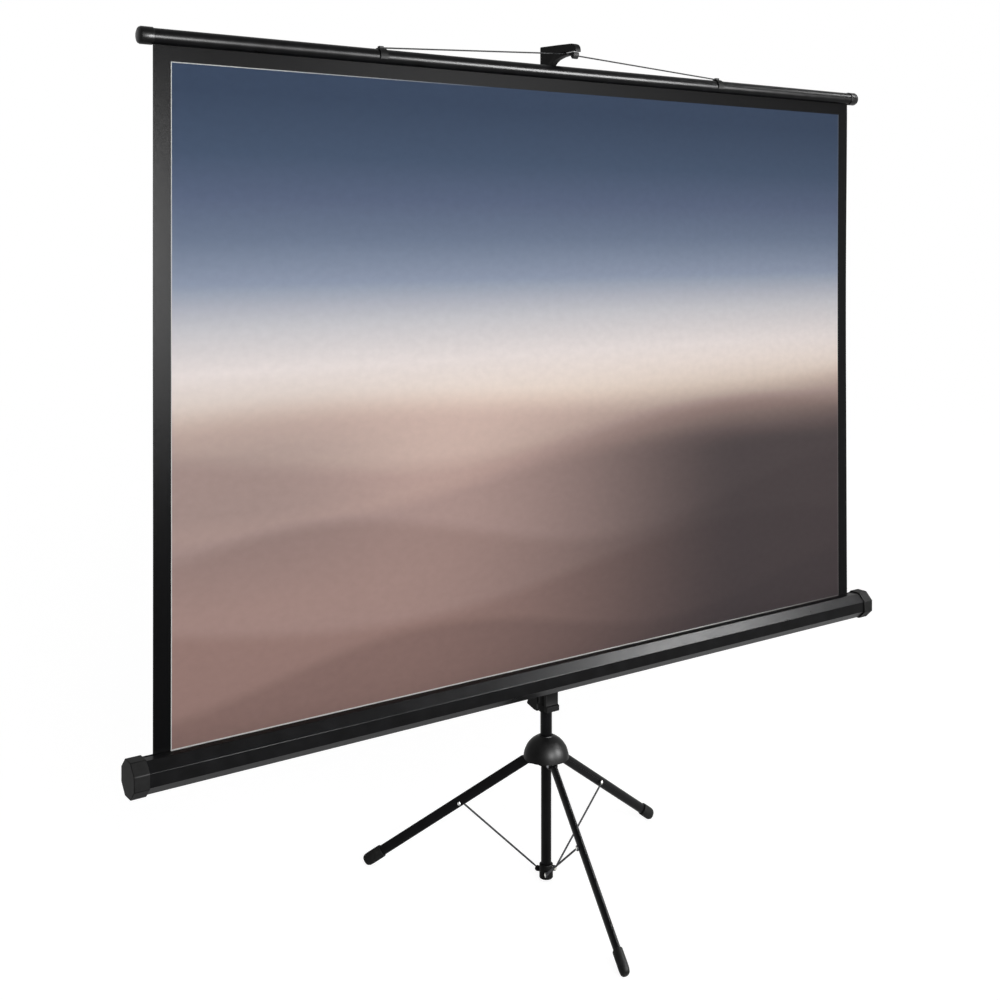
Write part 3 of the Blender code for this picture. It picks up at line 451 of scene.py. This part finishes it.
def make_face():
    """Matt vinyl that shows the picture inside black borders."""
    material, tree, shader, _ = new_material("matt_vinyl_face")
    uv = add(tree, "ShaderNodeUVMap", uv_map="cloth").outputs["UV"]
    parts = add(tree, "ShaderNodeSeparateXYZ", {0: uv})
    across, up = parts.outputs["X"], parts.outputs["Y"]
    picture = make_picture(tree, across, up, uv)
    line = bare_line(tree, across, up)
    lined = add(tree, "ShaderNodeMix", {"Factor": line, 6: picture, 7: linear("#d8d9d6")}, data_type="RGBA")
    sides, over = outside(tree, across, up, 0)
    border = add(tree, "ShaderNodeMath", {0: sides, 1: over}, operation="MAXIMUM").outputs[0]
    final = add(tree, "ShaderNodeMix", {"Factor": border, 6: lined.outputs[2], 7: linear("#0e0e0f")},
                data_type="RGBA")
    skin = add(tree, "ShaderNodeBump", {"Height": weave_height(tree), "Strength": 0.15,
                                        "Distance": 0.1 * MM})
    sheen = add(tree, "ShaderNodeMapRange", {"Value": across, "To Min": 0.26, "To Max": 0.80})
    gloss = add(tree, "ShaderNodeMapRange", {"Value": border, "To Min": 0.85,
                                             "To Max": sheen.outputs["Result"]})
    tree.links.new(final.outputs[2], shader.inputs["Base Color"])
    tree.links.new(gloss.outputs["Result"], shader.inputs["Roughness"])
    tree.links.new(skin.outputs["Normal"], shader.inputs["Normal"])
    shader.inputs["IOR"].default_value = 1.5
    shader.inputs["Specular IOR Level"].default_value = 0.010
    return material


def make_back():
    """Black cloth with a stronger weave and slow, cloudy patches."""
    material, tree, shader, place = new_material("black_cloth_back")
    cloud = add(tree, "ShaderNodeTexNoise", {"Vector": place, "Scale": 1 / (50 * MM), "Detail": 5.0})
    tone = add(tree, "ShaderNodeValToRGB", {"Fac": cloud.outputs["Fac"]})
    stops(tone, [(0.3, "#111113"), (0.7, "#19191b")])
    skin = add(tree, "ShaderNodeBump", {"Height": weave_height(tree), "Strength": 0.35,
                                        "Distance": 0.2 * MM})
    tree.links.new(tone.outputs["Color"], shader.inputs["Base Color"])
    tree.links.new(skin.outputs["Normal"], shader.inputs["Normal"])
    shader.inputs["Roughness"].default_value = 0.8
    shader.inputs["Sheen Weight"].default_value = 0.1
    return material


vinyl_face = make_face()
cloth_back = make_back()
print("made", vinyl_face.name, "and", cloth_back.name)

# %% [markdown]
# ## Softened edges
# Nothing that is moulded, cast or folded has a perfectly sharp edge: a small radius catches the light and
# shows the form. Each rigid solid is copied, its loose triangles are merged into whole faces again, and a
# Bevel modifier rounds what is sharper than 32 degrees. The copy stands for the solid and rides on its body.
# Most finishes follow from the record, and the second table names the few pieces with a finish of their own.

# %% Finishes and a helper for the solids
LOOKS = {"black_paint": enamel, "black_moulding": moulding, "zinc_plate": zinc, "steel": steel,
         "rubber": rubber, "nylon": natural_nylon}
# The stays take the zinc with the painted dark reflection.
SPECIAL = {"stay_right": zinc_with_painted_dark_reflection, "stay_left": zinc_with_painted_dark_reflection, "stay_front": zinc_with_painted_dark_reflection,
           "bar_cap_left": polished, "bar_cap_right": polished, "hub_dome": satin}


def own(obj, body, slot, *replaced):
    """Say which body a piece rides on and which solids it stands for; the slot argument is not used."""
    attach(obj, body)
    if replaced:
        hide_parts(*replaced)
    return obj


def softened(node, edge, sharp=32):
    """A copy of a solid with rounded edges and smooth shading."""
    look = SPECIAL.get(node, LOOKS[slot_of[node]])
    bm = bmesh.new()
    bm.from_mesh(nodes[node].data)
    bmesh.ops.remove_doubles(bm, verts=bm.verts, dist=0.002 * MM)
    bmesh.ops.dissolve_limit(bm, angle_limit=math.radians(0.6), verts=bm.verts, edges=bm.edges)
    bmesh.ops.recalc_face_normals(bm, faces=bm.faces)
    mesh = bpy.data.meshes.new(node + "_soft")
    bm.to_mesh(mesh)
    bm.free()
    mesh.shade_smooth()
    mesh.set_sharp_from_angle(angle=math.radians(sharp))
    mesh.materials.append(look)
    obj = bpy.data.objects.new(node + "_soft", mesh)
    bpy.context.collection.objects.link(obj)
    if edge:
        bevel = obj.modifiers.new("Rounded edges", "BEVEL")
        bevel.width = edge
        bevel.segments = 2
        bevel.limit_method = "ANGLE"
        bevel.angle_limit = math.radians(sharp)
        bevel.use_clamp_overlap = True
    return own(obj, body_of[node], slot_of[node], node)


# %% [markdown]
# The radius follows how each piece is made: 1.2 mm on the folded case, 0.8 mm on the larger mouldings, and a
# few tenths or less on small parts, legs and pins. Pieces that are hidden, inside the case, inside a tube or
# behind the plate, keep their solids and get only their material.

# %% Finish the rigid pieces
# radius of the edges in millimetres
EDGES = {"case_shell": 1.2, "case_cap_left": 1.2, "case_cap_right": 1.2, "hook_head": 1.2, "carriage": 0.8,
         "release_lever": 0.8, "hub_core": 0.6, "hub_dome": 0.8, "stay_collar": 0.5, "column_collar": 0.6,
         "case_plate": 0.3, "pole_latch": 0.5, "top_bar": 0.2, "bar_cap_left": 0.6, "bar_cap_right": 0.6,
         "bail_anchor_left": 0.4, "bail_anchor_right": 0.4, "post_plug": 0.4}
GENTLE_EDGE = 0.15 * MM
GENTLE = ("leg_", "foot_", "stay_", "hinge_pin_", "lever_pin", "latch_pin", "hook_screw")
SWEPT = ("column_tube", "post_tube", "pole_tube", "bail_wire")
CLOTH = ("screen_fabric", "wound_fabric")
finished = []
for node in sorted(nodes):
    if node in SWEPT or node in CLOTH:
        continue
    if node in EDGES:
        finished.append(softened(node, EDGES[node] * MM))
    elif node.startswith(GENTLE):
        finished.append(softened(node, GENTLE_EDGE))
    else:
        nodes[node].data.materials.clear()
        nodes[node].data.materials.append(LOOKS[slot_of[node]])
print("softened", len(finished), "pieces")

# %% [markdown]
# ## Drawn tubes
# A drawn tube is one rule: a ring of a given width and wall, of a given length. That is what Geometry Nodes
# are good at. A rounded rectangle, as wide as the wall and as tall as the tube, is carried round a circle.
# The tree has named inputs for the sizes, and its result is turned into a plain mesh for each tube.

# %% Geometry Nodes helpers


def new_tree(name, sizes):
    """A Geometry Nodes tree with named number inputs and a finish."""
    tree = bpy.data.node_groups.new(name, "GeometryNodeTree")
    tree.interface.new_socket("Geometry", in_out="INPUT", socket_type="NodeSocketGeometry")
    for size in sizes:
        tree.interface.new_socket(size, in_out="INPUT", socket_type="NodeSocketFloat")
    tree.interface.new_socket("Finish", in_out="INPUT", socket_type="NodeSocketMaterial")
    tree.interface.new_socket("Geometry", in_out="OUTPUT", socket_type="NodeSocketGeometry")
    return tree, add(tree, "NodeGroupInput")


def close_tree(tree, group_in, geometry):
    """End a tree in real geometry with its finish."""
    real = add(tree, "GeometryNodeRealizeInstances", {"Geometry": geometry})
    smooth = add(tree, "GeometryNodeSetShadeSmooth", {"Geometry": real.outputs["Geometry"]})
    done = add(tree, "GeometryNodeSetMaterial", {"Geometry": smooth.outputs["Geometry"],
                                                 "Material": group_in.outputs["Finish"]})
    add(tree, "NodeGroupOutput", {0: done.outputs["Geometry"]})


def grow(name, tree, values, start=None):
    """Run a tree on an object and keep the result as a plain mesh."""
    seed = bpy.data.objects.new(name + "_seed", start or bpy.data.meshes.new(name + "_seed"))
    bpy.context.collection.objects.link(seed)
    modifier = seed.modifiers.new("Grow", "NODES")
    modifier.node_group = tree
    keys = {item.name: item.identifier for item in tree.interface.items_tree if item.in_out == "INPUT"}
    for label, value in values.items():
        modifier[keys[label]] = value
    depsgraph = bpy.context.evaluated_depsgraph_get()
    mesh = bpy.data.meshes.new_from_object(seed.evaluated_get(depsgraph), depsgraph=depsgraph)
    mesh.name = name
    bpy.data.objects.remove(seed)
    return mesh


def put(name, mesh, sharp=40):
    """Link a finished mesh with its normals set outwards."""
    bm = bmesh.new()
    bm.from_mesh(mesh)
    bmesh.ops.remove_doubles(bm, verts=bm.verts, dist=0.002 * MM)
    bmesh.ops.recalc_face_normals(bm, faces=bm.faces)
    bm.to_mesh(mesh)
    bm.free()
    mesh.shade_smooth()
    mesh.set_sharp_from_angle(angle=math.radians(sharp))
    obj = bpy.data.objects.new(name, mesh)
    bpy.context.collection.objects.link(obj)
    return obj


print("Geometry Nodes helpers are ready")

# %% Tree for a drawn tube
tube_tree, sizes_in = new_tree("drawn_tube", ("Outer radius", "Wall", "Length", "Edge"))
half_wall = add(tube_tree, "ShaderNodeMath", {0: sizes_in.outputs["Wall"], 1: 0.5}, operation="MULTIPLY")
middle_radius = add(tube_tree, "ShaderNodeMath",
                    {0: sizes_in.outputs["Outer radius"], 1: half_wall.outputs[0]}, operation="SUBTRACT")
ring = add(tube_tree, "GeometryNodeCurvePrimitiveCircle",
           {"Resolution": 64, "Radius": middle_radius.outputs[0]})
wall = add(tube_tree, "GeometryNodeCurvePrimitiveQuadrilateral",
           {"Width": sizes_in.outputs["Wall"], "Height": sizes_in.outputs["Length"]})
rounded = add(tube_tree, "GeometryNodeFilletCurve", {"Curve": wall.outputs["Curve"], "Count": 3,
                                                     "Radius": sizes_in.outputs["Edge"]}, mode="POLY")
carried = add(tube_tree, "GeometryNodeCurveToMesh", {"Curve": ring.outputs["Curve"],
                                                     "Profile Curve": rounded.outputs["Curve"]})
close_tree(tube_tree, sizes_in, carried.outputs["Mesh"])
print("tree", tube_tree.name, "has", len(tube_tree.nodes), "nodes")

# %% Column, post and pole
WALL = 1.2 * MM
MOUTH = 0.3 * MM
for node in ("column_tube", "post_tube", "pole_tube"):
    low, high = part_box(node)
    radius = (high[0] - low[0]) / 2
    length = high[2] - low[2]
    mesh = grow(node + "_drawn", tube_tree, {"Outer radius": radius, "Wall": WALL, "Length": length,
                                             "Edge": MOUTH, "Finish": LOOKS[slot_of[node]]})
    tall = max(v.co.z for v in mesh.vertices) - min(v.co.z for v in mesh.vertices)
    mesh.transform(Matrix.Translation([(a + b) / 2 for a, b in zip(low, high)]))
    own(put(node + "_drawn", mesh), body_of[node], slot_of[node], node)
    print(node, "radius", round(radius / MM, 2), "mm, length", round(length, 3), "m, made", round(tall, 3))

# %% [markdown]
# ## The bail wire
# The bar hangs from one spring-steel wire that runs from anchor to anchor and rises to the hook. It follows
# a path, so a second tree carries a small circle along it. The path is read off the wire's solid: straight
# inside the anchors, then a steady climb to a rounded peak.

# %% Tree for a wire along a path
wire_tree, wire_in = new_tree("wire_on_path", ("Radius", "Step"))
line = add(wire_tree, "GeometryNodeMeshToCurve", {"Mesh": wire_in.outputs["Geometry"]})
even = add(wire_tree, "GeometryNodeResampleCurve", {"Curve": line.outputs["Curve"],
                                                    "Length": wire_in.outputs["Step"]}, mode="LENGTH")
section = add(wire_tree, "GeometryNodeCurvePrimitiveCircle",
              {"Resolution": 16, "Radius": wire_in.outputs["Radius"]})
drawn = add(wire_tree, "GeometryNodeCurveToMesh",
            {"Curve": even.outputs["Curve"], "Profile Curve": section.outputs["Curve"], "Fill Caps": True})
close_tree(wire_tree, wire_in, drawn.outputs["Mesh"])
print("tree", wire_tree.name, "has", len(wire_tree.nodes), "nodes")

# %% Bail wire
wire_low, wire_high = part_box("bail_wire")
wire_radius = (wire_high[1] - wire_low[1]) / 2
wire_y = (wire_low[1] + wire_high[1]) / 2
wire_half = (wire_high[0] - wire_low[0]) / 2
anchor_depth = 10 * MM
anchor_in = wire_half - anchor_depth
foot_z = wire_low[2] + wire_radius
peak_z = wire_high[2] - wire_radius
bend = 6 * MM
slope = (peak_z - foot_z) / (anchor_in - bend / 2)


def wire_height(x):
    """Height of the wire's middle over the bar."""
    away = min(abs(x), anchor_in)
    if away < bend:
        return peak_z - slope * away * away / (2 * bend)
    return peak_z - slope * (away - bend / 2)


path = bpy.data.meshes.new("bail_path")
count = 240
along = [-wire_half + 2 * wire_half * i / count for i in range(count + 1)]
path.from_pydata([(x, wire_y, wire_height(x)) for x in along], [(i, i + 1) for i in range(count)], [])
bail = grow("bail_wire_drawn", wire_tree, {"Radius": wire_radius, "Step": 3 * MM, "Finish": blued}, path)
own(put("bail_wire_drawn", bail), body_of["bail_wire"], slot_of["bail_wire"], "bail_wire")
print("bail wire", round(2 * wire_half, 3), "m between its ends")

# %% [markdown]
# ## The cloth's shape
# A pulled-up screen is nearly flat, but not quite: the sides curl and ripple by a few millimetres, and they
# draw in a little between the bar and the case, where nothing holds them. The sheet is a grid with those
# small moves, made as two skins half a millimetre apart, so that the face and the back can differ. Its UV map
# holds the flat cloth. The pole travels 375 mm down.

# %% Hanging cloth
THICK = 0.45 * MM
HELD = 0.03
DRAWN_IN = 0.0012
CURL = 2.2 * MM
RIPPLE = 0.7 * MM
cloth_y = (cloth_low[1] + cloth_high[1]) / 2
COLUMNS, ROWS = 96, 64


def cloth_point(u, v):
    """Place on the cloth's middle for flat coordinates from 0 to 1."""
    free = math.sin(math.pi * min(max((v - HELD) / (1 - 2 * HELD), 0), 1))
    side = 2 * u - 1
    narrow = 1 - DRAWN_IN * free * abs(side)
    curl = CURL * free * abs(side) ** 14 + RIPPLE * free * math.sin(7 * v + 3 * side) * abs(side) ** 6
    x = side * cloth_width / 2 * narrow
    return Vector((x, cloth_y + curl, cloth_low[2] + v * cloth_length))


def build_cloth(name, place, columns, rows, thick):
    """A thin closed sheet with a face, a back and a UV map named cloth."""
    bm = bmesh.new()
    uv = bm.loops.layers.uv.new("cloth")
    skins = []
    for side in (-1, 1):
        grid = []
        for j in range(rows + 1):
            row = []
            for i in range(columns + 1):
                u, v = i / columns, j / rows
                here = place(u, v)
                along = place(min(u + 0.001, 1), v) - place(max(u - 0.001, 0), v)
                upward = place(u, min(v + 0.001, 1)) - place(u, max(v - 0.001, 0))
                out = along.cross(upward).normalized()
                row.append(bm.verts.new(here - out * side * thick / 2))
            grid.append(row)
        skins.append(grid)
    flat = {}
    for grid in skins:
        for j, row in enumerate(grid):
            for i, vert in enumerate(row):
                flat[vert] = (i / columns, j / rows)
    for index, grid in enumerate(skins):
        for j in range(rows):
            for i in range(columns):
                corners = [grid[j][i], grid[j][i + 1], grid[j + 1][i + 1], grid[j + 1][i]]
                face = bm.faces.new(corners if index == 0 else corners[::-1])
                face.material_index = index
    rim = [(0, i) for i in range(columns)] + [(j, columns) for j in range(rows)]
    rim += [(rows, i) for i in range(columns, 0, -1)] + [(j, 0) for j in range(rows, 0, -1)]
    for (j, i), (m, n) in zip(rim, rim[1:] + rim[:1]):
        face = bm.faces.new([skins[0][m][n], skins[0][j][i], skins[1][j][i], skins[1][m][n]])
        face.material_index = 1
    for face in bm.faces:
        for loop in face.loops:
            loop[uv].uv = flat[loop.vert]
    bmesh.ops.recalc_face_normals(bm, faces=bm.faces)
    mesh = bpy.data.meshes.new(name)
    bm.to_mesh(mesh)
    bm.free()
    mesh.shade_smooth()
    mesh.set_sharp_from_angle(angle=math.radians(50))
    mesh.materials.append(vinyl_face)
    mesh.materials.append(cloth_back)
    obj = bpy.data.objects.new(name, mesh)
    bpy.context.collection.objects.link(obj)
    return obj


screen = build_cloth("screen_cloth", cloth_point, COLUMNS, ROWS, THICK)
front = sum(1 for face in screen.data.polygons if face.material_index == 0 and face.normal.y < 0)
print("screen faces towards the audience:", front, "of", COLUMNS * ROWS)
own(screen, "case", "screen_fabric", "screen_fabric")
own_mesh(screen)

# %% [markdown]
# ## The cloth on the roller
# What is not pulled out is wound on the roller: here a turn and a bit. It is the same cloth, as a spiral that
# leaves the roller towards the slot, and it turns with the roller.

# %% Wound cloth
roller_low, roller_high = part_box("roller_tube")
roller_y = (roller_low[1] + roller_high[1]) / 2
roller_z = (roller_low[2] + roller_high[2]) / 2
TURNS = 1.2
GAP = 0.3 * MM
PITCH = THICK + GAP
outer_radius = (roller_high[1] - roller_low[1]) / 2 + GAP + PITCH * TURNS + THICK


def wound_point(u, v):
    """Place on the spiral: V runs from its inner end to where it leaves the roller."""
    behind = TURNS * (1 - v)
    angle = -math.tau * behind
    radius = outer_radius - THICK / 2 - PITCH * behind
    x = (2 * u - 1) * cloth_width / 2
    return Vector((x, roller_y + radius * math.cos(angle), roller_z + radius * math.sin(angle)))


wound = build_cloth("wound_cloth", wound_point, 12, 96, THICK)
own(wound, "roller", "screen_fabric", "wound_fabric")

# %% [markdown]
# ## Light and floor
# The photograph is a studio cut-out: white all round, with black parts that still show long soft highlights.
# A large lamp in front lights everything. Three smaller ones show only in reflections and draw the
# highlights: along the upper front of the case, along the bar, and on the left border and the bar's left end.
# The one for the case has a narrow beam, as a grid on a soft box gives, so that it stays off the bar. The
# world fills in. The floor is pale, and seven tenths of it glow white for the camera, so that only a soft
# shadow is left of it.

# %% Lamps


def lamp(name, place, aim, size, power, mirrored_only=False, beam=180):
    """A soft rectangular lamp that points at a place, or one that shows only in reflections."""
    data = bpy.data.lights.new(name, "AREA")
    data.shape = "RECTANGLE"
    data.size, data.size_y = size
    data.energy = power
    data.spread = math.radians(beam)
    obj = bpy.data.objects.new(name, data)
    obj.location = place
    obj.rotation_euler = (Vector(aim) - Vector(place)).to_track_quat("-Z", "Y").to_euler()
    obj.visible_diffuse = not mirrored_only
    bpy.context.collection.objects.link(obj)
    return obj


lamp("front_lamp", (-0.8, -4.6, 2.6), (0, 0, 1.0), (3.0, 2.2), 110)
lamp("case_lamp", (2.3, -0.98, 2.6), (0.45, -0.62, 0.27), (1.0, 0.5), 24, mirrored_only=True, beam=64)
lamp("bar_lamp", (1.72, -2.4, 1.55), (0.1, 0, 1.6), (1.0, 1.1), 750, mirrored_only=True)
lamp("left_lamp", (-0.3, -2.3, 1.32), (-0.8, 0, 1.4), (0.6, 0.9), 380, mirrored_only=True)

# %% Floor and world


def backdrop_rays(tree):
    """1 for the rays that should meet the white backdrop: seen, mirrored or through glass."""
    ray = add(tree, "ShaderNodeLightPath")
    seen = add(tree, "ShaderNodeMath", {0: ray.outputs["Is Camera Ray"], 1: ray.outputs["Is Glossy Ray"]},
               operation="MAXIMUM")
    return add(tree, "ShaderNodeMath", {0: seen.outputs[0], 1: ray.outputs["Is Transmission Ray"]},
               operation="MAXIMUM").outputs[0]


world = bpy.data.worlds.new("studio")
bpy.context.scene.world = world
world.use_nodes = True
sky = world.node_tree
sky.nodes.clear()
strength = add(sky, "ShaderNodeMapRange", {"Value": backdrop_rays(sky), "To Min": 0.40, "To Max": 1.0})
glow = add(sky, "ShaderNodeBackground", {"Color": (1, 1, 1, 1), "Strength": strength.outputs["Result"]})
add(sky, "ShaderNodeOutputWorld", {"Surface": glow.outputs["Background"]})

GLOW_SHARE = 0.7
ground = bpy.data.materials.new("pale_floor")
ground.use_nodes = True
tree = ground.node_tree
tree.nodes.clear()
paint = add(tree, "ShaderNodeBsdfDiffuse", {"Color": linear("#f4f4f4")})
bright = add(tree, "ShaderNodeEmission", {"Color": (1, 1, 1, 1), "Strength": 1.27})
share = add(tree, "ShaderNodeMath", {0: backdrop_rays(tree), 1: GLOW_SHARE}, operation="MULTIPLY")
both = add(tree, "ShaderNodeMixShader", {0: share.outputs[0], 1: paint.outputs[0], 2: bright.outputs[0]})
add(tree, "ShaderNodeOutputMaterial", {"Surface": both.outputs[0]})
floor_mesh = bpy.data.meshes.new("floor")
floor_mesh.from_pydata([(-9, -9, 0), (9, -9, 0), (9, 9, 0), (-9, 9, 0)], [], [(0, 1, 2, 3)])
floor_mesh.materials.append(ground)
floor = bpy.data.objects.new("floor", floor_mesh)
bpy.context.collection.objects.link(floor)
bpy.context.scene.view_settings.view_transform = "Standard"
print("floor and world are ready")

# %% [markdown]
# ## Last update
# The view layer is brought up to date.

# %% Update the view layer
bpy.context.view_layer.update()
